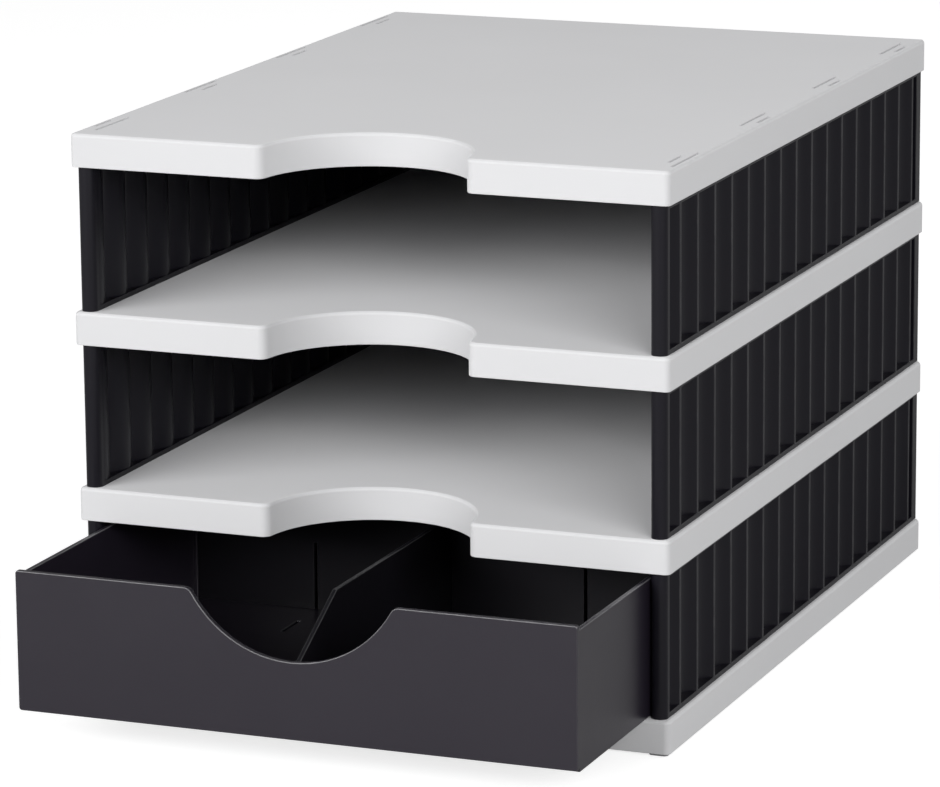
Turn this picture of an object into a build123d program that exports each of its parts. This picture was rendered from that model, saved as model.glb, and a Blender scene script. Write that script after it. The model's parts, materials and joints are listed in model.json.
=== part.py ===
from build123d import *
import os

# A desk organizer for letter-size papers: four equal plates stacked on fluted
# side walls make three levels. The two upper levels are open trays, and a
# divided drawer runs in the lowest one. Millimetres. +X is the right-hand side
# seen from the front, -Y the front and +Z up. The origin lies on the desk, in
# the middle of the footprint with the drawer drawn out as far as DRAWN_OUT.

# ---------------------------------------------------------------- the stack
WIDTH = 260.0  # over the plates
DEPTH = 345.0  # over the plates, front to back
PITCH = 74.5  # from one plate's underside to the next one's
LEVEL_NAMES = ("lower", "middle", "upper")
DRAWN_OUT = 78.0  # drawer front ahead of the plates' front edges

# --------------------------------------------------------------- the plates
PLATE_HEIGHT = 14.0
PLATE_SKIN = 2.2  # top skin
PLATE_RIM = 2.4  # outer wall, also around the finger notch
PLATE_CORNER = 2.5  # radius of the upright corners
LEAST_CORNER = 0.4  # least radius of those of the open underside
PLATE_EDGE = 0.9  # bevel along the top edge
NOTCH_RADIUS = 44.0  # finger notch in the front edge
NOTCH_CORNER = 4.0
RAIL_LEDGE = 2.0  # solid rail under a side wall, past the wall's inner face
RIB = 1.6  # ribs under the skin
RIB_COLUMNS = 6  # bays across
RIB_ROWS = 3  # bays from front to back
CROSS_RIB_RISE = 3.0  # crosswise ribs stop this far above the rim
STOP_RIB = 2.0  # two crosswise ribs reach down to the rim and stop the drawer

# ----------------------------------------------------------- the side walls
WALL_INSET = 2.0  # wall's outer face, in from the plate's edge
COLUMN_SET_BACK = 1.5  # front column, behind the plate's front edge
COLUMN_DEPTH = 5.0
COLUMN_ROUND = 3.2
REAR_COLUMN = 6.0
WALL_RAIL = 2.0  # ledge along the top and the bottom
FLUTE_DEPTH = 4.6
FLUTE_WALL = 2.2
CREST_SET_BACK = 0.2  # flutes' inner crests, behind the column's inner face
RIB_TIP = 1.2  # flat edge left between two flutes
FLUTE_SIDES = 28  # flat strips round a flute's whole circle, a multiple of 4
WAVE_SIDES = 20  # the same for the wave inside
RIB_PITCH = 20.88
FIRST_RIB = 19.5  # centre of the first rib, behind the plate's front edge

# ------------------------------------------------- tongues and their slots
TONGUE_LENGTH = 27.0
TONGUE_THICKNESS = 1.0
TONGUE_HEIGHT = 5.5
HOOK_LENGTH = 10.0
HOOK_SHORT = 1.5  # hook's tip, below the plate's top
SLOT_CLEARANCE = 0.2  # all round a tongue
SLOT_FIRST = 24.0  # middle of the first slot, behind the front edge
SLOT_PITCH = 96.0
SLOT_OUTER = 0.7  # slots' middles, in from the wall's outer face
SLOT_INNER = 5.0

# ---------------------------------------------------------- the back panels
BACK_THICKNESS = 2.0
BACK_INSET = 2.0  # panel's rear face, ahead of the plates' rear edges
GROOVE_DEPTH = 2.5
GROOVE_CLEARANCE = 0.2
BACK_CLEARANCE = 0.2  # above a back panel

# --------------------------------------------------------------- the drawer
DRAWER_BEHIND = 12.5  # closed drawer's rear, ahead of the plates' rear edges
DRAWER_TRAVEL = 246.0  # from closed to the front stop
DRAWER_SIDE_GAP = 0.6  # to the walls' inner faces
DRAWER_WALL = 2.0
DRAWER_FLOOR = 2.0
FRONT_THICKNESS = 2.6
FRONT_GAP_BELOW = 1.2  # drawer front above the base plate
FRONT_GAP_ABOVE = 1.0
RUNNER_CLEARANCE = 0.3  # drawer's runners above the base plate
RUNNER_HEIGHT = 3.1  # floor above the runners' lower edges
SIDE_STEP = 1.9  # side walls below the top of the front
SCOOP_RADIUS = 49.5
SCOOP_DEPTH = 26.4
SCOOP_CORNER = 4.0
FRONT_CORNER = 1.2
REAR_CORNER = 2.0  # rear upright corners, outside and inside
REAR_CORNER_INSIDE = 1.0
LUG_WIDTH = 14.0  # stop lugs on the rear wall
LUG_CLEARANCE = 1.0  # lug's top below the crosswise ribs
STOP_CLEARANCE = 0.3

# ------------------------------------------------------------- the dividers
DIVIDER_THICKNESS = 1.9
DIVIDER_STEP = 6.0  # dividers below the drawer's side walls
DIVIDER_CLEARANCE = 0.25
DIVIDER_SLOPE_RUN = 41.7
DIVIDER_BELOW_SCOOP = 3.7  # divider's low front end, under the scoop
SPARE_SLOT_AT = 61.7  # free slots, out from the middle
SPARE_SLOT_WIDTH = 1.4
LAP_BRIDGE = 16.6  # left above the slots in the cross divider
TAB_LENGTH = 17.0
TAB_HEIGHT = 1.6
TAB_OFFSET = 28.0  # tab's middle, from the cross divider
SEAT_RIB = 1.2  # small upright ribs that hold a divider's end
SEAT_RIB_REACH = 1.6

# ------------------------------------------------------------ the foot pads
PAD_SIDE = 8.0
PAD_HEIGHT = 1.0
PAD_FRONT = 5.5  # pad's middle, behind the plate's front edge
PAD_BACK = 8.0  # ahead of its rear edge

# ------------------------------------------------------------ derived sizes
FRONT = (DRAWN_OUT - DEPTH) / 2
BACK = FRONT + DEPTH
MIDDLE = (FRONT + BACK) / 2
EDGE = WIDTH / 2
CLEAR_HEIGHT = PITCH - PLATE_HEIGHT
WALL_THICKNESS = FLUTE_DEPTH + FLUTE_WALL + CREST_SET_BACK
WALL_OUTER = EDGE - WALL_INSET
WALL_INNER = WALL_OUTER - WALL_THICKNESS
WALL_MIDDLE = (WALL_OUTER + WALL_INNER) / 2
RAIL_INNER = WALL_INNER - RAIL_LEDGE
RAIL_MIDDLE = (EDGE + RAIL_INNER) / 2
SLOT_ROWS = 1 + int((DEPTH - SLOT_FIRST - TONGUE_LENGTH / 2 - REAR_COLUMN) / SLOT_PITCH)

HALF_FLUTE = (RIB_PITCH - RIB_TIP) / 2
FLUTE_RADIUS = (HALF_FLUTE**2 + FLUTE_DEPTH**2) / (2 * FLUTE_DEPTH)
FLUTE_CENTRE = WALL_OUTER - FLUTE_DEPTH + FLUTE_RADIUS
COLUMN_FRONT = FRONT + COLUMN_SET_BACK
COLUMN_BACK = COLUMN_FRONT + COLUMN_DEPTH
REAR_COLUMN_FRONT = BACK - REAR_COLUMN
FLUTES = 1 + int((REAR_COLUMN_FRONT - FRONT - FIRST_RIB + RIB_PITCH) / RIB_PITCH)

BACK_PANEL_REAR = BACK - BACK_INSET
BACK_PANEL_FRONT = BACK_PANEL_REAR - BACK_THICKNESS
BACK_PANEL_MIDDLE = (BACK_PANEL_FRONT + BACK_PANEL_REAR) / 2

DRAWER_HALF = WALL_INNER - DRAWER_SIDE_GAP
DRAWER_FRONT = FRONT - DRAWN_OUT
DRAWER_REAR = BACK - DRAWER_BEHIND - DRAWN_OUT
STOP_RIB_BACK = BACK - DRAWER_BEHIND + STOP_CLEARANCE + STOP_RIB / 2
STOP_RIB_FRONT = BACK - DRAWER_BEHIND - DRAWER_WALL - DRAWER_TRAVEL - STOP_CLEARANCE - STOP_RIB / 2
BASE_TOP = PAD_HEIGHT + PLATE_HEIGHT
CEILING = PAD_HEIGHT + PITCH
FRONT_BOTTOM = BASE_TOP + FRONT_GAP_BELOW
FRONT_TOP = CEILING - FRONT_GAP_ABOVE
SIDE_BOTTOM = BASE_TOP + RUNNER_CLEARANCE
SIDE_TOP = FRONT_TOP - SIDE_STEP
FLOOR_BOTTOM = SIDE_BOTTOM + RUNNER_HEIGHT
FLOOR_TOP = FLOOR_BOTTOM + DRAWER_FLOOR
LUG_TOP = CEILING + CROSS_RIB_RISE - LUG_CLEARANCE
RIB_BAY = 2 * RAIL_INNER / RIB_COLUMNS
LUG_X = 1.5 * RIB_BAY  # middle of the second bay from the centre

DIVIDER_TOP = SIDE_TOP - DIVIDER_STEP
DIVIDER_LOW_END = FRONT_TOP - SCOOP_DEPTH - DIVIDER_BELOW_SCOOP
LAP_TOP = DIVIDER_TOP - LAP_BRIDGE
LAP_WIDTH = DIVIDER_THICKNESS + 2 * DIVIDER_CLEARANCE
SEAT_OFFSET = LAP_WIDTH / 2 + SEAT_RIB / 2
INSIDE_FRONT = DRAWER_FRONT + FRONT_THICKNESS
INSIDE_REAR = DRAWER_REAR - DRAWER_WALL
INSIDE_HALF = DRAWER_HALF - DRAWER_WALL
CROSS_Y = (INSIDE_FRONT + INSIDE_REAR) / 2
SEAT_ROWS = (CROSS_Y - SEAT_OFFSET, CROSS_Y + SEAT_OFFSET)
TAB_ROWS = (CROSS_Y - TAB_OFFSET, CROSS_Y + TAB_OFFSET)


def plate_bottom(level):
    """Height of a plate's underside above the desk."""
    return PAD_HEIGHT + level * PITCH


def slot_places(side):
    """Pairs of middles along one side of a plate: (tongue slot, hook window)."""
    places = []
    for row in range(SLOT_ROWS):
        y = FRONT + SLOT_FIRST + row * SLOT_PITCH
        tongue_is_outer = (row == 0) == (side > 0)
        inner = (side * (WALL_OUTER - SLOT_INNER), y)
        outer = (side * (WALL_OUTER - SLOT_OUTER), y)
        places.append((outer, inner) if tongue_is_outer else (inner, outer))
    return places


def tongue_slots():
    """Middles of a plate's long slots, for the tongues of the walls that stand on it."""
    return [tongue for side in (-1, 1) for tongue, hook in slot_places(side)]


def hook_windows():
    """Middles of a plate's short windows, for the hooks of the walls that carry it."""
    return [hook for side in (-1, 1) for tongue, hook in slot_places(side)]


# ---------------------------------------------------------------- the plates
def plate_outline(inset=0.0):
    """The plate's plan with its finger notch, or the same plan set in evenly."""
    with BuildSketch(mode=Mode.PRIVATE) as outline:
        with Locations((0, MIDDLE)):
            Rectangle(WIDTH - 2 * inset, DEPTH - 2 * inset)
        with Locations((0, FRONT)):
            Circle(NOTCH_RADIUS + inset, mode=Mode.SUBTRACT)
        corners = outline.vertices()
        rear = corners.filter_by(lambda v: v.Y > MIDDLE)
        sides = corners.filter_by(lambda v: abs(v.X) > EDGE / 2 and v.Y < MIDDLE)
        fillet(rear + sides, max(PLATE_CORNER - inset, LEAST_CORNER))
        if inset == 0:
            notch = outline.vertices().filter_by(lambda v: abs(v.X) < EDGE / 2)
            fillet(notch, NOTCH_CORNER)
    return outline.sketch


def rib_bays():
    """Plans of the open underside: channels between the lengthwise ribs, and their cells."""
    with BuildSketch(mode=Mode.PRIVATE) as bays:
        add(plate_outline(PLATE_RIM))
        with Locations((0, MIDDLE)):
            Rectangle(2 * RAIL_INNER, DEPTH, mode=Mode.INTERSECT)
        with Locations((0, MIDDLE)), GridLocations(RIB_BAY, DEPTH, RIB_COLUMNS - 1, 1):
            Rectangle(RIB, DEPTH, mode=Mode.SUBTRACT)
        with Locations((0, STOP_RIB_FRONT), (0, STOP_RIB_BACK)):
            Rectangle(WIDTH, STOP_RIB, mode=Mode.SUBTRACT)
    with BuildSketch(mode=Mode.PRIVATE) as cells:
        add(bays.sketch)
        with Locations((0, MIDDLE)), GridLocations(WIDTH, DEPTH / RIB_ROWS, 1, RIB_ROWS - 1):
            Rectangle(WIDTH, RIB, mode=Mode.SUBTRACT)
    return bays.sketch, cells.sketch


def plate(name, level):
    bottom = plate_bottom(level)
    top = bottom + PLATE_HEIGHT
    slot_length = TONGUE_LENGTH + 2 * SLOT_CLEARANCE
    slot_width = TONGUE_THICKNESS + 2 * SLOT_CLEARANCE
    slot_depth = TONGUE_HEIGHT + SLOT_CLEARANCE
    window = HOOK_LENGTH + 2 * SLOT_CLEARANCE
    bays, cells = rib_bays()
    with BuildPart() as body:
        with BuildSketch(Plane.XY.offset(bottom)):
            add(plate_outline())
        extrude(amount=PLATE_HEIGHT)
        chamfer(body.edges().group_by(Axis.Z)[-1], PLATE_EDGE)
        # open underside: channels between the lengthwise ribs, then deeper cells
        with BuildSketch(Plane.XY.offset(bottom)):
            add(bays)
        extrude(amount=CROSS_RIB_RISE, mode=Mode.SUBTRACT)
        with BuildSketch(Plane.XY.offset(bottom)):
            add(cells)
        extrude(amount=PLATE_HEIGHT - PLATE_SKIN, mode=Mode.SUBTRACT)
        # blind slots for the tongues from above, through windows for the hooks from below
        with BuildSketch(Plane.XY.offset(top)):
            with Locations(*tongue_slots()):
                Rectangle(slot_width, slot_length)
        extrude(amount=-slot_depth, mode=Mode.SUBTRACT)
        with BuildSketch(Plane.XY.offset(bottom)):
            with Locations(*hook_windows()):
                Rectangle(slot_width, window)
        extrude(amount=PLATE_HEIGHT, mode=Mode.SUBTRACT)
    body.part.label = name
    return body.part


# ------------------------------------------------------------ the side walls
def flute_centres(side):
    """Centres of the flutes along one wall, the first and last partly covered."""
    first = FRONT + FIRST_RIB - RIB_PITCH / 2
    return [(side * FLUTE_CENTRE, first + i * RIB_PITCH) for i in range(FLUTES)]


def side_wall(name, level, side):
    bottom = plate_bottom(level) + PLATE_HEIGHT
    top = bottom + CLEAR_HEIGHT
    wall_middle = side * WALL_MIDDLE
    web_length = REAR_COLUMN_FRONT - COLUMN_BACK
    web_middle = (REAR_COLUMN_FRONT + COLUMN_BACK) / 2
    tongues = [tongue for tongue, hook in slot_places(side)]
    hooks = [hook for tongue, hook in slot_places(side)]
    with BuildPart() as wall:
        # fluted web: round scallops outside, the same waves inside
        with BuildSketch(Plane.XY.offset(bottom)):
            with Locations(*flute_centres(side)):
                RegularPolygon(FLUTE_RADIUS + FLUTE_WALL, WAVE_SIDES)
            with Locations((wall_middle, web_middle)):
                Rectangle(WALL_THICKNESS, web_length, mode=Mode.INTERSECT)
            with Locations(*flute_centres(side)):
                RegularPolygon(FLUTE_RADIUS, FLUTE_SIDES, mode=Mode.SUBTRACT)
        extrude(amount=CLEAR_HEIGHT)
        # ledges along the top and the bottom
        with BuildSketch(Plane.XY.offset(bottom), Plane.XY.offset(top - WALL_RAIL)):
            with Locations((wall_middle, web_middle)):
                Rectangle(WALL_THICKNESS, web_length)
        extrude(amount=WALL_RAIL)
        # round-fronted column
        with BuildSketch(Plane.XY.offset(bottom)) as column:
            with Locations((wall_middle, COLUMN_FRONT + COLUMN_DEPTH / 2)):
                Rectangle(WALL_THICKNESS, COLUMN_DEPTH)
            fillet(column.vertices().group_by(Axis.Y)[0], COLUMN_ROUND)
        extrude(amount=CLEAR_HEIGHT)
        # rear column with the groove for the back panel
        with BuildSketch(Plane.XY.offset(bottom)):
            with Locations((wall_middle, BACK - REAR_COLUMN / 2)):
                Rectangle(WALL_THICKNESS, REAR_COLUMN)
            with Locations((side * (WALL_INNER + GROOVE_DEPTH / 2), BACK_PANEL_MIDDLE)):
                Rectangle(GROOVE_DEPTH, BACK_THICKNESS + 2 * GROOVE_CLEARANCE, mode=Mode.SUBTRACT)
        extrude(amount=CLEAR_HEIGHT)
        # tongues down into the plate below, hooks up into the windows of the plate above
        with BuildSketch(Plane.XY.offset(bottom)):
            with Locations(*tongues):
                Rectangle(TONGUE_THICKNESS, TONGUE_LENGTH)
        extrude(amount=-TONGUE_HEIGHT)
        with BuildSketch(Plane.XY.offset(top)):
            with Locations(*hooks):
                Rectangle(TONGUE_THICKNESS, HOOK_LENGTH)
        extrude(amount=PLATE_HEIGHT - HOOK_SHORT)
    wall.part.label = name
    return wall.part


# ----------------------------------------------------------- the back panels
def back_panel(name, level):
    bottom = plate_bottom(level) + PLATE_HEIGHT
    half = WALL_INNER + GROOVE_DEPTH - GROOVE_CLEARANCE
    with BuildPart() as panel:
        with BuildSketch(Plane.XY.offset(bottom)):
            with Locations((0, BACK_PANEL_MIDDLE)):
                Rectangle(2 * half, BACK_THICKNESS)
        extrude(amount=CLEAR_HEIGHT - BACK_CLEARANCE)
    panel.part.label = name
    return panel.part


# ---------------------------------------------------------------- the drawer
def drawer_tray(name):
    inside_length = INSIDE_REAR - INSIDE_FRONT
    scoop_centre = FRONT_TOP - SCOOP_DEPTH + SCOOP_RADIUS
    seat_x = INSIDE_HALF - SEAT_RIB_REACH / 2
    slit_length = TAB_LENGTH + 2 * DIVIDER_CLEARANCE
    lug_y = DRAWER_REAR - DRAWER_WALL / 2
    with BuildPart() as tray:
        # side walls, rear wall and floor
        with BuildSketch(Plane.XY.offset(SIDE_BOTTOM)) as plan:
            with Locations((0, (INSIDE_FRONT + DRAWER_REAR) / 2)):
                Rectangle(2 * DRAWER_HALF, DRAWER_REAR - INSIDE_FRONT)
            fillet(plan.vertices().group_by(Axis.Y)[-1], REAR_CORNER)
        extrude(amount=SIDE_TOP - SIDE_BOTTOM)
        with BuildSketch(Plane.XY.offset(FLOOR_TOP)) as cavity:
            with Locations((0, CROSS_Y)):
                Rectangle(2 * INSIDE_HALF, inside_length)
            fillet(cavity.vertices().group_by(Axis.Y)[-1], REAR_CORNER_INSIDE)
        extrude(amount=SIDE_TOP - FLOOR_TOP, mode=Mode.SUBTRACT)
        with BuildSketch(Plane.XY.offset(SIDE_BOTTOM)):
            with Locations((0, CROSS_Y)):
                Rectangle(2 * INSIDE_HALF, inside_length)
        extrude(amount=FLOOR_BOTTOM - SIDE_BOTTOM, mode=Mode.SUBTRACT)
        # front with the finger scoop
        with BuildSketch(Plane.XZ.offset(-INSIDE_FRONT)) as front:
            with Locations((0, (FRONT_TOP + FRONT_BOTTOM) / 2)):
                Rectangle(2 * DRAWER_HALF, FRONT_TOP - FRONT_BOTTOM)
            fillet(front.vertices(), FRONT_CORNER)
            with Locations((0, scoop_centre)):
                Circle(SCOOP_RADIUS, mode=Mode.SUBTRACT)
            lips = front.vertices().filter_by(
                lambda v: abs(v.X) < SCOOP_RADIUS and v.Y > FRONT_TOP - SCOOP_DEPTH / 2
            )
            fillet(lips, SCOOP_CORNER)
        extrude(amount=FRONT_THICKNESS)
        # small ribs that hold the ends of the dividers
        with BuildSketch(Plane.XY.offset(FLOOR_TOP)):
            for side in (-1, 1):
                with Locations(*[(side * seat_x, row) for row in SEAT_ROWS]):
                    Rectangle(SEAT_RIB_REACH, SEAT_RIB)
                with Locations((side * SEAT_OFFSET, INSIDE_REAR - SEAT_RIB_REACH / 2)):
                    Rectangle(SEAT_RIB, SEAT_RIB_REACH)
        extrude(amount=DIVIDER_TOP - FLOOR_TOP)
        # slits in the floor for the dividers' tabs
        with BuildSketch(Plane.XY.offset(FLOOR_TOP)):
            for row in TAB_ROWS:
                with Locations((0, row)):
                    Rectangle(LAP_WIDTH, slit_length)
                with Locations((-SPARE_SLOT_AT, row), (SPARE_SLOT_AT, row)):
                    Rectangle(SPARE_SLOT_WIDTH, slit_length)
        extrude(amount=-DRAWER_FLOOR, mode=Mode.SUBTRACT)
        # stop lugs, which run in the open underside of the shelf above
        with BuildSketch(Plane.XY.offset(SIDE_TOP)):
            with Locations((-LUG_X, lug_y), (LUG_X, lug_y)):
                Rectangle(LUG_WIDTH, DRAWER_WALL)
        extrude(amount=LUG_TOP - SIDE_TOP)
    tray.part.label = name
    return tray.part


# -------------------------------------------------------------- the dividers
def long_divider(name):
    front = INSIDE_FRONT + DIVIDER_CLEARANCE
    rear = INSIDE_REAR - DIVIDER_CLEARANCE
    with BuildPart() as divider:
        # side view, with the front end sloped down to below the scoop
        with BuildSketch(Plane.YZ.offset(-DIVIDER_THICKNESS / 2)):
            with BuildLine():
                Polyline(
                    (front, FLOOR_TOP),
                    (rear, FLOOR_TOP),
                    (rear, DIVIDER_TOP),
                    (front + DIVIDER_SLOPE_RUN, DIVIDER_TOP),
                    (front, DIVIDER_LOW_END),
                    close=True,
                )
            make_face()
            with Locations((CROSS_Y, DIVIDER_TOP)):
                Rectangle(LAP_WIDTH, 2 * (LAP_BRIDGE + DIVIDER_CLEARANCE), mode=Mode.SUBTRACT)
            with Locations(*[(row, FLOOR_TOP - TAB_HEIGHT / 2) for row in TAB_ROWS]):
                Rectangle(TAB_LENGTH, TAB_HEIGHT)
        extrude(amount=DIVIDER_THICKNESS)
    divider.part.label = name
    return divider.part


def cross_divider(name):
    half = INSIDE_HALF - DIVIDER_CLEARANCE
    slot_height = LAP_TOP - FLOOR_TOP
    slot_middle = (LAP_TOP + FLOOR_TOP) / 2
    with BuildPart() as divider:
        with BuildSketch(Plane.XZ.offset(-CROSS_Y - DIVIDER_THICKNESS / 2)):
            with Locations((0, (FLOOR_TOP + DIVIDER_TOP) / 2)):
                Rectangle(2 * half, DIVIDER_TOP - FLOOR_TOP)
            with Locations((0, slot_middle)):
                Rectangle(LAP_WIDTH, slot_height, mode=Mode.SUBTRACT)
            with Locations((-SPARE_SLOT_AT, slot_middle), (SPARE_SLOT_AT, slot_middle)):
                Rectangle(SPARE_SLOT_WIDTH, slot_height, mode=Mode.SUBTRACT)
        extrude(amount=DIVIDER_THICKNESS)
    divider.part.label = name
    return divider.part


# ------------------------------------------------------------- the foot pads
def foot_pad(name, side, y):
    with BuildPart() as pad:
        with BuildSketch(Plane.XY):
            with Locations((side * RAIL_MIDDLE, y)):
                Rectangle(PAD_SIDE, PAD_SIDE)
        extrude(amount=PAD_HEIGHT)
    pad.part.label = name
    return pad.part


# ------------------------------------------------------------- the whole set
pieces = []
for level, plate_name in enumerate(("base_plate", "lower_shelf", "upper_shelf", "top_plate")):
    pieces.append(plate(plate_name, level))
for level, level_name in enumerate(LEVEL_NAMES):
    pieces.append(side_wall(f"{level_name}_left_wall", level, -1))
    pieces.append(side_wall(f"{level_name}_right_wall", level, 1))
    pieces.append(back_panel(f"{level_name}_back_panel", level))
pieces.append(drawer_tray("drawer_tray"))
pieces.append(long_divider("long_divider"))
pieces.append(cross_divider("cross_divider"))
for side, side_name in ((-1, "left"), (1, "right")):
    pieces.append(foot_pad(f"front_{side_name}_pad", side, FRONT + PAD_FRONT))
    pieces.append(foot_pad(f"rear_{side_name}_pad", side, BACK - PAD_BACK))

os.makedirs("parts", exist_ok=True)
for piece in pieces:
    export_step(piece, f"parts/{piece.label}.step")
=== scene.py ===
import json
import math

import bmesh
import bpy
from bpy.props import FloatProperty, FloatVectorProperty, IntProperty, PointerProperty
from mathutils import Matrix, Vector

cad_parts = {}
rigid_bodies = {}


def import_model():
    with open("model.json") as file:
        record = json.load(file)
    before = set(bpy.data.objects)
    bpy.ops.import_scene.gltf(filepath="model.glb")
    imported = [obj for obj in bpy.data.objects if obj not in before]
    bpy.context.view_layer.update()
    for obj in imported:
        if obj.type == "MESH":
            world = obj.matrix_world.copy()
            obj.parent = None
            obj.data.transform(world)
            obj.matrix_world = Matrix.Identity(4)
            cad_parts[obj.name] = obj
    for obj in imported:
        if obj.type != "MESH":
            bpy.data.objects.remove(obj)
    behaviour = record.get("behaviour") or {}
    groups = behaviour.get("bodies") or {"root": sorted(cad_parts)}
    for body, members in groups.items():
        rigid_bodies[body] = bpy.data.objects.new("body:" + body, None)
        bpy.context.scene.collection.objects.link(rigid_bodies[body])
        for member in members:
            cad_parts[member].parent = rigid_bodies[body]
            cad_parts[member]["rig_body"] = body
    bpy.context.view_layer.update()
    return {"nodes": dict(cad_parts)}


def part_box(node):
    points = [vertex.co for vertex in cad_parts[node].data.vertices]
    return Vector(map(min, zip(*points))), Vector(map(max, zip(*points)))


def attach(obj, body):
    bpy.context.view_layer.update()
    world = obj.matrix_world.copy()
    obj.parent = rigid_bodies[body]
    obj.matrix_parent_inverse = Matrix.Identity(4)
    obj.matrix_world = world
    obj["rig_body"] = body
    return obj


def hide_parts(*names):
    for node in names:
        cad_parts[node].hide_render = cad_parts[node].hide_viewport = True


bl_info = {
    "name": "Letter Tray Stack",
    "version": (1, 0, 0),
    "blender": (4, 5, 0),
    "location": "3D View > Sidebar > Letter Stack",
    "description": "Moulded plates, fluted walls and a divided drawer, with their finishes and a studio",
    "category": "Object",
}

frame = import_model()

PLATES = ("base_plate", "lower_shelf", "upper_shelf", "top_plate")
WALLS = tuple(f"{level}_{side}_wall" for level in ("lower", "middle", "upper") for side in ("left", "right"))
BACKS = ("lower_back_panel", "middle_back_panel", "upper_back_panel")
DIVIDERS = ("long_divider", "cross_divider")
PADS = tuple(f"{end}_{side}_pad" for end in ("front", "rear") for side in ("left", "right"))

# weight of the painted edge light: a painted highlight along the edges, and painted darker on the foot pads
EDGE_LIGHT_MASK = "rounded_edge"  # 1 on the rounding along a piece's edges, 0 elsewhere
MERGE = 2e-6  # corners of the frame's loose triangles closer than this are one
FLAT = math.radians(0.5)  # faces that turn less than this from one another are one
SHARP = math.radians(28)  # edges that turn more than this are rounded
CREASE = math.radians(50)  # edges that still turn more than this are shaded sharp
# roundings that face up get the full painted highlight, the others only their upright share
FACING_UP = 0.1  # a rounding faces up when its normal rises more than this
SQUARE_ON = 0.99  # a normal with more than this of itself along an axis points along it
SLOT_END_AREA = 3e-5  # a plate's faces to the front smaller than this are the rear ends of its slots
SLOT_BAND = 0.009  # the slots lie closer than this to a plate's sides
SLOT_RIM = 0.001  # and further than this from its edges
LEDGE_AREA = 2e-4  # a side wall's level faces larger than this are its ledges
GRAIN_DEPTH = 0.0002  # depth of the moulded grain at its full strength


def colour(name, description, default):
    """A colour setting."""
    return FloatVectorProperty(
        name=name, description=description, default=default, subtype="COLOR", size=3, min=0, max=1
    )


def length(name, description, default):
    """A length setting in metres."""
    return FloatProperty(
        name=name, description=description, default=default, min=0, subtype="DISTANCE", unit="LENGTH",
        precision=5,
    )


def share(name, description, default):
    """A setting from none to all."""
    return FloatProperty(name=name, description=description, default=default, min=0, max=1, subtype="FACTOR")


def angle(name, description, degrees):
    """An angle setting whose default is given in degrees."""
    return FloatProperty(name=name, description=description, default=math.radians(degrees), subtype="ANGLE")


def power(name, description, default):
    """A lamp's power in watts."""
    return FloatProperty(name=name, description=description, default=default, min=0, subtype="POWER")


def strength(name, description, default):
    """A strength of light, at which 1 is white."""
    return FloatProperty(name=name, description=description, default=default, min=0)


class StackEdges(bpy.types.PropertyGroup):
    """How far each kind of piece is rounded along its edges"""

    plate: length("Plates", "Rounding along the plates' edges", 0.00045)
    slot_depth: length("Slot ramp depth", "Depth from which the ramp behind each slot rises", 0.002)
    slot_run: length("Slot ramp", "Length of the ramp behind each slot", 0.006)
    wall: length("Side walls", "Rounding along the side walls' ribs, ledges and columns", 0.00036)
    ledge: length("Ledges on plates", "Rounding where the side walls' ledges meet the plates", 0.00014)
    drawer: length("Drawer", "Rounding along the drawer's edges", 0.0004)
    divider: length("Dividers", "Rounding along the dividers' edges", 0.0003)
    panel: length("Back panels", "Rounding along the back panels' edges", 0.0003)
    pad: length("Foot pads", "Rounding along the foot pads' edges", 0.00008)
    pad_corner: length("Pad corners", "Radius of the foot pads' upright corners", 0.0018)
    pad_cup: length("Pad cups", "Depth of the cup in a foot pad's sole, and the width of its slope", 0.0003)
    steps: IntProperty(name="Steps", description="Faces across each rounding", default=3, min=1, max=6)


class StackFinish(bpy.types.PropertyGroup):
    """Colours of the moulded plastics and how they vary"""

    plate: colour("Plates", "Light grey of the plates", (0.60, 0.60, 0.61))
    wall: colour("Side walls", "Black of the side walls and back panels", (0.0062, 0.0056, 0.0088))
    drawer: colour("Drawer", "Anthracite of the drawer", (0.0140, 0.0113, 0.0180))
    # darker than the drawer: painted shade of the drawer's inside
    divider: colour("Dividers", "Anthracite of the drawer's dividers", (0.0060, 0.0055, 0.0075))
    pad: colour("Foot pads", "Rubber of the foot pads", (0.30, 0.30, 0.31))
    drift: share("Drift", "Slow change of tone over a light moulding; dark ones have more", 0.05)
    grain: share("Grain", "Depth of the fine moulded grain", 0.10)


class StackStage(bpy.types.PropertyGroup):
    """The camera, the studio lights and the floor"""

    lens: FloatProperty(
        name="Lens", description="Focal length in millimetres on a 36 mm wide sensor", default=191.65, min=10
    )
    camera: FloatVectorProperty(
        name="Camera", description="Place of the camera", default=(0.77314, -1.94074, 0.59683),
        subtype="TRANSLATION", unit="LENGTH", size=3,
    )
    turn: angle("Turn", "Camera's turn to the right", -21.930)
    tilt: angle("Tilt", "Camera's tilt upward", -13.106)
    roll: angle("Roll", "Camera's roll to the left", -0.506)
    strip: power("Front strip", "Power of the wide softbox at the front left, which lights the trays", 97.0)
    fill: power("Fill softbox", "Power of the low softbox at the front right", 58.3)
    side: power("Side softbox", "Power of the raised softbox behind the right side", 25.7)
    ambient: strength("Ambient", "Strength of the light from all round", 0.185)
    floor: colour("Floor", "Pale floor", (0.50, 0.50, 0.50))
    lift: strength("Floor lift", "Brightness added to the floor where the camera sees it", 0.76)


# ------------------------------------------------------------------ materials
def new_group(name, inputs, outputs):
    """An empty shader node group with its sockets, and its input and output nodes."""
    group = bpy.data.node_groups.new(name, "ShaderNodeTree")
    for socket, kind, default in inputs:
        made = group.interface.new_socket(socket, in_out="INPUT", socket_type=kind)
        if default is not None:
            made.default_value = default
    for socket, kind in outputs:
        group.interface.new_socket(socket, in_out="OUTPUT", socket_type=kind)
    return group, group.nodes.new("NodeGroupInput"), group.nodes.new("NodeGroupOutput")


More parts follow.
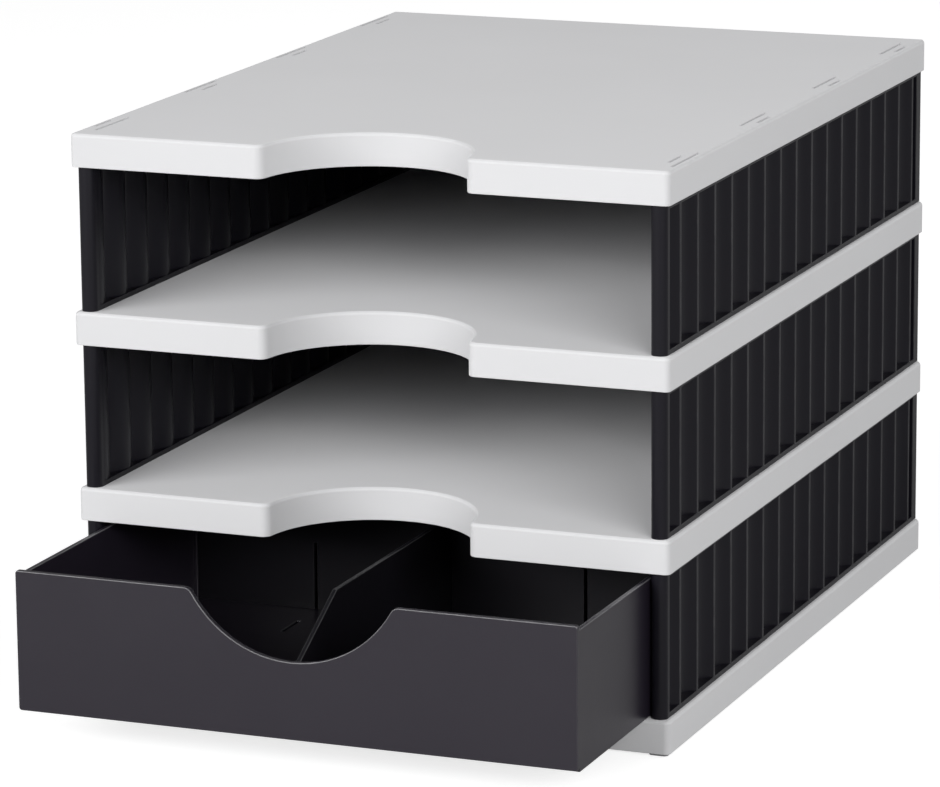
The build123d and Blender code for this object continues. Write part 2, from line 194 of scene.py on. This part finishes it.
def tone_group():
    """A colour that drifts slowly in lightness over the piece."""
    group, given, out = new_group(
        "Tone Drift",
        [
            ("Colour", "NodeSocketColor", None),
            ("Scale", "NodeSocketFloat", 9.0),
            ("Amount", "NodeSocketFloat", 0.05),
        ],
        [("Colour", "NodeSocketColor")],
    )
    nodes, link = group.nodes, group.links.new
    place = nodes.new("ShaderNodeTexCoord")
    cloud = nodes.new("ShaderNodeTexNoise")
    cloud.inputs["Detail"].default_value = 3.0
    cloud.inputs["Roughness"].default_value = 0.55
    centre = nodes.new("ShaderNodeMath")
    centre.operation = "SUBTRACT"
    centre.inputs[1].default_value = 0.5
    swing = nodes.new("ShaderNodeMath")
    swing.operation = "MULTIPLY"
    value = nodes.new("ShaderNodeMath")
    value.operation = "ADD"
    value.inputs[1].default_value = 1.0
    tint = nodes.new("ShaderNodeHueSaturation")
    link(place.outputs["Object"], cloud.inputs["Vector"])
    link(given.outputs["Scale"], cloud.inputs["Scale"])
    link(cloud.outputs["Fac"], centre.inputs[0])
    link(centre.outputs[0], swing.inputs[0])
    link(given.outputs["Amount"], swing.inputs[1])
    link(swing.outputs[0], value.inputs[0])
    link(value.outputs[0], tint.inputs["Value"])
    link(given.outputs["Colour"], tint.inputs["Color"])
    link(tint.outputs["Color"], out.inputs["Colour"])
    return group


def grain_group():
    """Fine moulded grain: a height for the bump and a mask of its pits."""
    group, given, out = new_group(
        "Moulded Grain",
        [("Scale", "NodeSocketFloat", 1500.0), ("Scuffs", "NodeSocketFloat", 30.0)],
        [("Height", "NodeSocketFloat"), ("Scuff", "NodeSocketFloat")],
    )
    nodes, link = group.nodes, group.links.new
    place = nodes.new("ShaderNodeTexCoord")
    fine = nodes.new("ShaderNodeTexNoise")
    fine.inputs["Detail"].default_value = 2.0
    pits = nodes.new("ShaderNodeTexVoronoi")
    pits.feature = "SMOOTH_F1"
    both = nodes.new("ShaderNodeMath")
    both.operation = "MULTIPLY_ADD"
    both.inputs[1].default_value = 0.5
    scuff = nodes.new("ShaderNodeTexNoise")
    scuff.inputs["Detail"].default_value = 5.0
    scuff.inputs["Distortion"].default_value = 0.6
    link(place.outputs["Object"], fine.inputs["Vector"])
    link(place.outputs["Object"], pits.inputs["Vector"])
    link(place.outputs["Object"], scuff.inputs["Vector"])
    link(given.outputs["Scale"], fine.inputs["Scale"])
    link(given.outputs["Scale"], pits.inputs["Scale"])
    link(given.outputs["Scuffs"], scuff.inputs["Scale"])
    link(pits.outputs["Distance"], both.inputs[0])
    link(fine.outputs["Fac"], both.inputs[2])
    link(both.outputs[0], out.inputs["Height"])
    link(scuff.outputs["Fac"], out.inputs["Scuff"])
    return group


def edge_light_group():
    """Where a piece gets its painted edge light: its rounded edges, broken up a little."""
    group, given, out = new_group(
        "Rubbed Edge",
        [("Scale", "NodeSocketFloat", 140.0), ("Amount", "NodeSocketFloat", 0.6)],
        [("Mask", "NodeSocketFloat")],
    )
    nodes, link = group.nodes, group.links.new
    place = nodes.new("ShaderNodeTexCoord")
    edge = nodes.new("ShaderNodeAttribute")
    edge.attribute_name = EDGE_LIGHT_MASK
    patch = nodes.new("ShaderNodeTexNoise")
    spread = nodes.new("ShaderNodeMapRange")
    spread.inputs["From Min"].default_value = 0.35
    spread.inputs["From Max"].default_value = 0.65
    spread.inputs["To Min"].default_value = 0.6
    spread.inputs["To Max"].default_value = 1.0
    broken = nodes.new("ShaderNodeMath")
    broken.operation = "MULTIPLY"
    amount = nodes.new("ShaderNodeMath")
    amount.operation = "MULTIPLY"
    link(place.outputs["Object"], patch.inputs["Vector"])
    link(given.outputs["Scale"], patch.inputs["Scale"])
    link(patch.outputs["Fac"], spread.inputs["Value"])
    link(edge.outputs["Fac"], broken.inputs[0])
    link(spread.outputs["Result"], broken.inputs[1])
    link(broken.outputs[0], amount.inputs[0])
    link(given.outputs["Amount"], amount.inputs[1])
    link(amount.outputs[0], out.inputs["Mask"])
    return group


def group_of(name, build):
    """The node group of this name, built at its first use."""
    return bpy.data.node_groups.get(name) or build()


def moulded_plastic(name, base, edge, edge_light_share, rough, specular, drift, grain, rough_swing=0.05, matt=0.0):
    """A moulded plastic: drifting tone, painted light in the edge colour along its rounded edges, grain and
    patches that are a little smoother.
    """
    material = bpy.data.materials.get(name)
    if material:
        return material
    material = bpy.data.materials.new(name)
    material.use_nodes = True
    nodes, link = material.node_tree.nodes, material.node_tree.links.new
    shader = nodes["Principled BSDF"]
    shader.inputs["Specular IOR Level"].default_value = specular
    shader.inputs["Diffuse Roughness"].default_value = matt

    tone = nodes.new("ShaderNodeGroup")
    tone.node_tree = group_of("Tone Drift", tone_group)
    tone.inputs["Colour"].default_value = (*base, 1)
    tone.inputs["Amount"].default_value = drift
    moulding = nodes.new("ShaderNodeGroup")
    moulding.node_tree = group_of("Moulded Grain", grain_group)
    edge_light_node = nodes.new("ShaderNodeGroup")
    edge_light_node.node_tree = group_of("Rubbed Edge", edge_light_group)
    edge_light_node.inputs["Amount"].default_value = edge_light_share

    # the edge colour is painted light: a painted highlight along the rounded edges, darker on the foot pads
    mix = nodes.new("ShaderNodeMix")
    mix.data_type = "RGBA"
    mix.inputs["B"].default_value = (*edge, 1)
    link(edge_light_node.outputs["Mask"], mix.inputs["Factor"])
    link(tone.outputs["Colour"], mix.inputs["A"])
    link(mix.outputs["Result"], shader.inputs["Base Color"])

    dull = nodes.new("ShaderNodeMapRange")
    dull.inputs["To Min"].default_value = rough - rough_swing
    dull.inputs["To Max"].default_value = rough + rough_swing
    link(moulding.outputs["Scuff"], dull.inputs["Value"])
    link(dull.outputs["Result"], shader.inputs["Roughness"])

    bump = nodes.new("ShaderNodeBump")
    bump.inputs["Strength"].default_value = grain
    bump.inputs["Distance"].default_value = GRAIN_DEPTH
    link(moulding.outputs["Height"], bump.inputs["Height"])
    link(bump.outputs["Normal"], shader.inputs["Normal"])
    return material


# -------------------------------------------------------------------- meshes
def merged_copy(node):
    """The frame's node as one closed mesh of flat faces."""
    bm = bmesh.new()
    bm.from_mesh(frame["nodes"][node].data)
    bmesh.ops.remove_doubles(bm, verts=bm.verts, dist=MERGE)
    bmesh.ops.dissolve_limit(bm, angle_limit=FLAT, verts=bm.verts, edges=bm.edges)
    bm.faces.layers.float.new(EDGE_LIGHT_MASK)
    return bm


def round_edges(bm, width, steps, chosen=lambda edge: True, upright=1.0):
    """Rounds the outward sharp edges that are chosen and not rounded yet, and marks the rounding.

    The mark is 1, or upright on a rounding that doesn't face up. It weights the painted edge light, so
    roundings that face up get the most painted highlight.
    """
    mark = bm.faces.layers.float[EDGE_LIGHT_MASK]
    edges = [
        e
        for e in bm.edges
        if len(e.link_faces) == 2
        and e.is_convex
        and e.calc_face_angle(0) > SHARP
        and not any(face[mark] for face in e.link_faces)
        and chosen(e)
    ]
    made = bmesh.ops.bevel(
        bm, geom=edges, offset=width, offset_type="OFFSET", affect="EDGES", segments=steps, profile=0.5,
        clamp_overlap=False, material=-1,
    )
    bm.normal_update()
    for face in made["faces"]:
        # painted highlight: full on a rounding that faces up, the upright share on the others
        face[mark] = 1.0 if face.normal.z > FACING_UP else upright


def finished_mesh(bm, node):
    """The bmesh as a mesh named after its node, shaded smooth but for the edges left sharp."""
    for face in bm.faces:
        face.smooth = True
    for edge in bm.edges:
        edge.smooth = edge.calc_face_angle(0) < CREASE
    mesh = bpy.data.meshes.new(f"{node}_moulding")
    bm.to_mesh(mesh)
    bm.free()
    return mesh


def slope_slot_ends(bm, depth, run):
    """Cuts a short ramp behind every slot in a plate's top, from this depth up to the top."""
    top = max(v.co.z for v in bm.verts)
    ends = [
        face
        for face in bm.faces
        if face.normal.y < -SQUARE_ON
        and face.calc_area() < SLOT_END_AREA
        and max(v.co.z for v in face.verts) > top - MERGE
    ]
    for face in ends:
        corners = [v for v in face.verts if v.co.z > top - MERGE]
        middles = []
        for corner in corners:
            down = next(e for e in face.edges if corner in e.verts and e.other_vert(corner) not in corners)
            middles.append(bmesh.utils.edge_split(down, corner, depth / down.calc_length())[1])
        bmesh.utils.face_split(face, *middles)
        bmesh.ops.translate(bm, verts=corners, vec=(0, run, 0))


def place_piece(node, mesh, material):
    """A piece that stands for a node of the frame and rides on its body."""
    piece = bpy.data.objects.new(f"{node}_moulding", mesh)
    bpy.context.scene.collection.objects.link(piece)
    mesh.materials.append(material)
    normals = piece.modifiers.new("Even normals", "WEIGHTED_NORMAL")
    normals.keep_sharp = True
    normals.weight = 100
    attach(piece, frame["nodes"][node]["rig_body"])
    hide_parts(node)


class BuildPiece(bpy.types.Operator):
    """Rounds a group of the frame's nodes and gives them their finish"""

    bl_options = {"REGISTER", "UNDO"}
    nodes = ()

    def shape(self, node, edges):
        """The node's shape as a bmesh, with its edges rounded."""
        raise NotImplementedError

    def material(self, finish):
        """The material of these nodes."""
        raise NotImplementedError

    def execute(self, context):
        material = self.material(context.scene.stack_finish)
        for node in self.nodes:
            if node not in frame["nodes"]:
                raise RuntimeError(f"the frame has no {node}")
            place_piece(node, finished_mesh(self.shape(node, context.scene.stack_edges), node), material)
        return {"FINISHED"}


class LETTER_OT_plates(BuildPiece):
    """Round the four plates and give them their light grey"""

    bl_idname = "letter.plates"
    bl_label = "Plates"
    nodes = PLATES

    def shape(self, node, edges):
        bm = merged_copy(node)
        slope_slot_ends(bm, edges.slot_depth, edges.slot_run)
        low, high = (Vector(corner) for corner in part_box(node))

        def off_slots(edge):
            """Not on the mouth of a slot in the top."""
            return not all(
                v.co.z > high.z - edges.slot_depth - MERGE
                and high.x - SLOT_BAND < abs(v.co.x) < high.x - SLOT_RIM
                and low.y + SLOT_RIM < v.co.y < high.y - SLOT_RIM
                for v in edge.verts
            )

        # roundings that don't face up get 0.6 of the painted highlight
        round_edges(bm, edges.plate, edges.steps, off_slots, upright=0.6)
        return bm

    def material(self, finish):
        # edge colour: a painted highlight, lighter than the grey, along the plates' rounded edges
        return moulded_plastic(
            "light grey plastic", base=finish.plate, edge=(0.66, 0.66, 0.67), edge_light_share=0.5, rough=0.60,
            specular=0.25, drift=finish.drift, grain=finish.grain, matt=0.4,
        )


class LETTER_OT_walls(BuildPiece):
    """Round the six fluted side walls and give them their black"""

    bl_idname = "letter.walls"
    bl_label = "Side walls"
    nodes = WALLS

    def shape(self, node, edges):
        bm = merged_copy(node)
        inner = min(abs(corner[0]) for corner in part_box(node)) + edges.wall
        ledges = [face for face in bm.faces if abs(face.normal.z) > SQUARE_ON and face.calc_area() > LEDGE_AREA]
        low, high = min(face.verts[0].co.z for face in ledges), max(face.verts[0].co.z for face in ledges)

        def outside(edge):
            """Off the inner side, and on the wall itself, not on a tongue or hook."""
            return any(abs(v.co.x) > inner for v in edge.verts) and all(
                low - MERGE < v.co.z < high + MERGE for v in edge.verts
            )

        def on_plate(edge):
            """Where a ledge meets the plate under or over it."""
            return outside(edge) and (
                all(v.co.z < low + MERGE for v in edge.verts) or all(v.co.z > high - MERGE for v in edge.verts)
            )

        round_edges(bm, edges.ledge, edges.steps, on_plate)
        round_edges(bm, edges.wall, edges.steps, outside)
        return bm

    def material(self, finish):
        # edge colour: a painted highlight on the rib tips, ledges and columns
        return moulded_plastic(
            "black plastic", base=finish.wall, edge=(0.05, 0.05, 0.053), edge_light_share=0.8, rough=0.30,
            specular=0.25, drift=finish.drift * 2, grain=finish.grain,
        )


class LETTER_OT_backs(BuildPiece):
    """Round the three back panels and give them their black"""

    bl_idname = "letter.backs"
    bl_label = "Back panels"
    nodes = BACKS

    def shape(self, node, edges):
        bm = merged_copy(node)
        round_edges(bm, edges.panel, edges.steps)
        return bm

    def material(self, finish):
        # edge colour: a painted highlight along the back panels' rounded edges
        return moulded_plastic(
            "black panel", base=finish.wall, edge=(0.02, 0.02, 0.021), edge_light_share=0.5, rough=0.42,
            specular=0.25, drift=finish.drift * 2, grain=finish.grain,
        )


class LETTER_OT_drawer(BuildPiece):
    """Round the drawer and give it its anthracite"""

    bl_idname = "letter.drawer"
    bl_label = "Drawer"
    nodes = ("drawer_tray",)

    def shape(self, node, edges):
        bm = merged_copy(node)
        # roundings that don't face up get only 0.15 of the painted highlight, so the top edge and scoop carry
        # the bright line
        round_edges(bm, edges.drawer, edges.steps, upright=0.15)
        return bm

    def material(self, finish):
        # edge colour: a painted highlight along the drawer's rounded edges
        return moulded_plastic(
            "anthracite plastic", base=finish.drawer, edge=(0.13, 0.128, 0.135), edge_light_share=0.9, rough=0.30,
            specular=0.65, drift=finish.drift * 2, grain=finish.grain, rough_swing=0.04,
        )


class LETTER_OT_dividers(BuildPiece):
    """Round the two dividers and give them an anthracite darker than the drawer's, painted shade of the
    drawer's inside
    """

    bl_idname = "letter.dividers"
    bl_label = "Dividers"
    nodes = DIVIDERS

    def shape(self, node, edges):
        bm = merged_copy(node)
        # roundings that don't face up get 0.3 of the painted highlight
        round_edges(bm, edges.divider, edges.steps, upright=0.3)
        return bm

    def material(self, finish):
        # darker base colour: painted shade of the drawer's inside; edge colour: a painted highlight along the
        # rounded edges
        return moulded_plastic(
            "divider plastic", base=finish.divider, edge=(0.06, 0.06, 0.062), edge_light_share=0.8, rough=0.36,
            specular=0.2, drift=finish.drift * 2, grain=finish.grain,
        )


class LETTER_OT_pads(BuildPiece):
    """Round the four foot pads and give them their rubber"""

    bl_idname = "letter.pads"
    bl_label = "Foot pads"
    nodes = PADS

    def shape(self, node, edges):
        low, high = (Vector(corner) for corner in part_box(node))
        bm = bmesh.new()
        mark = bm.faces.layers.float.new(EDGE_LIGHT_MASK)
        bmesh.ops.create_cube(bm, size=1.0)
        bmesh.ops.scale(bm, vec=high - low, verts=bm.verts)
        bmesh.ops.translate(bm, vec=(low + high) / 2, verts=bm.verts)
        upright = [e for e in bm.edges if abs(e.verts[0].co.z - e.verts[1].co.z) > MERGE]
        bmesh.ops.bevel(
            bm, geom=upright, offset=edges.pad_corner, offset_type="OFFSET", affect="EDGES",
            segments=2 * edges.steps, profile=0.5, clamp_overlap=True, material=-1,
        )
        sole = min(bm.faces, key=lambda face: face.calc_center_median().z)
        bmesh.ops.inset_region(bm, faces=[sole], thickness=edges.pad_corner / 2)
        cup = bmesh.ops.inset_region(bm, faces=[sole], thickness=edges.pad_cup)
        bmesh.ops.translate(bm, vec=(0, 0, edges.pad_cup), verts=sole.verts)
        # the cup's slope takes the full darker edge colour
        for face in cup["faces"]:
            face[mark] = 1.0
        round_edges(bm, edges.pad, edges.steps)
        return bm

    def material(self, finish):
        # edge colour: darker than the rubber, so the pad's roundings and its cup's slope are painted darker
        return moulded_plastic(
            "pad rubber", base=finish.pad, edge=(0.04, 0.04, 0.04), edge_light_share=0.3, rough=0.8,
            specular=0.2, drift=finish.drift * 3, grain=finish.grain * 2,
        )


# --------------------------------------------------------------------- stage
FLOOR_REACH = 6.0  # from the middle of the floor to its sides
SENSOR = 36.0  # width of the camera's sensor in millimetres
STUDIO_MIDDLE = Vector((0.0, -0.05, 0.12))  # what the softboxes are aimed at
# name, setting of its power, bearing from the front to the right, angle of rise, distance, width, height
SOFTBOXES = (
    ("front strip", "strip", -28, 20, 3.2, 3.0, 0.92),
    ("fill softbox", "fill", 45, 20, 3.2, 2.2, 0.92),
    ("side softbox", "side", 130, 35, 3.0, 2.4, 1.4),
)


def softbox(name, power, bearing, rise, distance, width, height):
    """A rectangular light aimed at the object's middle."""
    light = bpy.data.lights.new(name, "AREA")
    light.shape = "RECTANGLE"
    light.size, light.size_y = width, height
    light.energy = power
    lamp = bpy.data.objects.new(name, light)
    bpy.context.scene.collection.objects.link(lamp)
    bearing, rise = math.radians(bearing), math.radians(rise)
    out = Vector((math.sin(bearing) * math.cos(rise), -math.cos(bearing) * math.cos(rise), math.sin(rise)))
    lamp.location = STUDIO_MIDDLE + out * distance
    lamp.rotation_euler = (-out).to_track_quat("-Z", "Y").to_euler()


def lit_floor(settings):
    """The floor's material: pale, with some light of its own where the camera sees it."""
    material = bpy.data.materials.new("pale floor")
    material.use_nodes = True
    nodes, link = material.node_tree.nodes, material.node_tree.links.new
    shader = nodes["Principled BSDF"]
    shader.inputs["Roughness"].default_value = 0.9
    shader.inputs["Specular IOR Level"].default_value = 0.0
    shader.inputs["Base Color"].default_value = (*settings.floor, 1)
    shader.inputs["Emission Color"].default_value = (1, 1, 1, 1)
    ray = nodes.new("ShaderNodeLightPath")
    seen = nodes.new("ShaderNodeMath")
    seen.operation = "MULTIPLY"
    seen.inputs[1].default_value = settings.lift
    link(ray.outputs["Is Camera Ray"], seen.inputs[0])
    link(seen.outputs[0], shader.inputs["Emission Strength"])
    return material


class LETTER_OT_stage(bpy.types.Operator):
    """Lay the floor, light the studio and set up the camera"""

    bl_idname = "letter.stage"
    bl_label = "Stage"
    bl_options = {"REGISTER", "UNDO"}

    def execute(self, context):
        scene = context.scene
        settings = scene.stack_stage
        bm = bmesh.new()
        bmesh.ops.create_grid(bm, x_segments=1, y_segments=1, size=FLOOR_REACH)
        mesh = bpy.data.meshes.new("floor")
        bm.to_mesh(mesh)
        bm.free()
        floor = bpy.data.objects.new("floor", mesh)
        scene.collection.objects.link(floor)
        mesh.materials.append(lit_floor(settings))

        for name, setting, *where in SOFTBOXES:
            softbox(name, getattr(settings, setting), *where)

        world = bpy.data.worlds.new("studio")
        scene.world = world
        world.use_nodes = True
        nodes, link = world.node_tree.nodes, world.node_tree.links.new
        background = nodes["Background"]
        background.inputs["Color"].default_value = (1, 1, 1, 1)
        ray = nodes.new("ShaderNodeLightPath")
        seen = nodes.new("ShaderNodeMix")
        seen.inputs["A"].default_value = settings.ambient
        seen.inputs["B"].default_value = 1.0
        link(ray.outputs["Is Camera Ray"], seen.inputs["Factor"])
        link(seen.outputs["Result"], background.inputs["Strength"])

        data = bpy.data.cameras.new("camera")
        data.lens = settings.lens
        data.sensor_width = SENSOR
        camera = bpy.data.objects.new("camera", data)
        scene.collection.objects.link(camera)
        camera.matrix_world = (
            Matrix.Translation(settings.camera)
            @ Matrix.Rotation(-settings.turn, 4, "Z")
            @ Matrix.Rotation(math.pi / 2 + settings.tilt, 4, "X")
            @ Matrix.Rotation(settings.roll, 4, "Z")
        )
        scene.camera = camera
        scene.view_settings.view_transform = "Standard"
        return {"FINISHED"}


class LETTER_PT_panel(bpy.types.Panel):
    """Sizes, colours and the steps that build the letter tray stack"""

    bl_idname = "LETTER_PT_panel"
    bl_label = "Letter Tray Stack"
    bl_space_type = "VIEW_3D"
    bl_region_type = "UI"
    bl_category = "Letter Stack"

    def draw(self, context):
        scene = context.scene
        for settings in (scene.stack_edges, scene.stack_finish, scene.stack_stage):
            box = self.layout.box()
            for name in type(settings).__annotations__:
                box.prop(settings, name)
        for operator in OPERATORS:
            self.layout.operator(operator.bl_idname)


OPERATORS = (
    LETTER_OT_plates,
    LETTER_OT_walls,
    LETTER_OT_backs,
    LETTER_OT_drawer,
    LETTER_OT_dividers,
    LETTER_OT_pads,
    LETTER_OT_stage,
)
SETTINGS = {"stack_edges": StackEdges, "stack_finish": StackFinish, "stack_stage": StackStage}


def register():
    for cls in (*SETTINGS.values(), *OPERATORS, LETTER_PT_panel):
        bpy.utils.register_class(cls)
    for name, cls in SETTINGS.items():
        setattr(bpy.types.Scene, name, PointerProperty(type=cls))


def unregister():
    for name in SETTINGS:
        delattr(bpy.types.Scene, name)
    for cls in reversed((*SETTINGS.values(), *OPERATORS, LETTER_PT_panel)):
        bpy.utils.unregister_class(cls)


def main():
    register()
    bpy.ops.letter.plates()
    bpy.ops.letter.walls()
    bpy.ops.letter.backs()
    bpy.ops.letter.drawer()
    bpy.ops.letter.dividers()
    bpy.ops.letter.pads()
    bpy.ops.letter.stage()


if __name__ == "__main__":
    main()
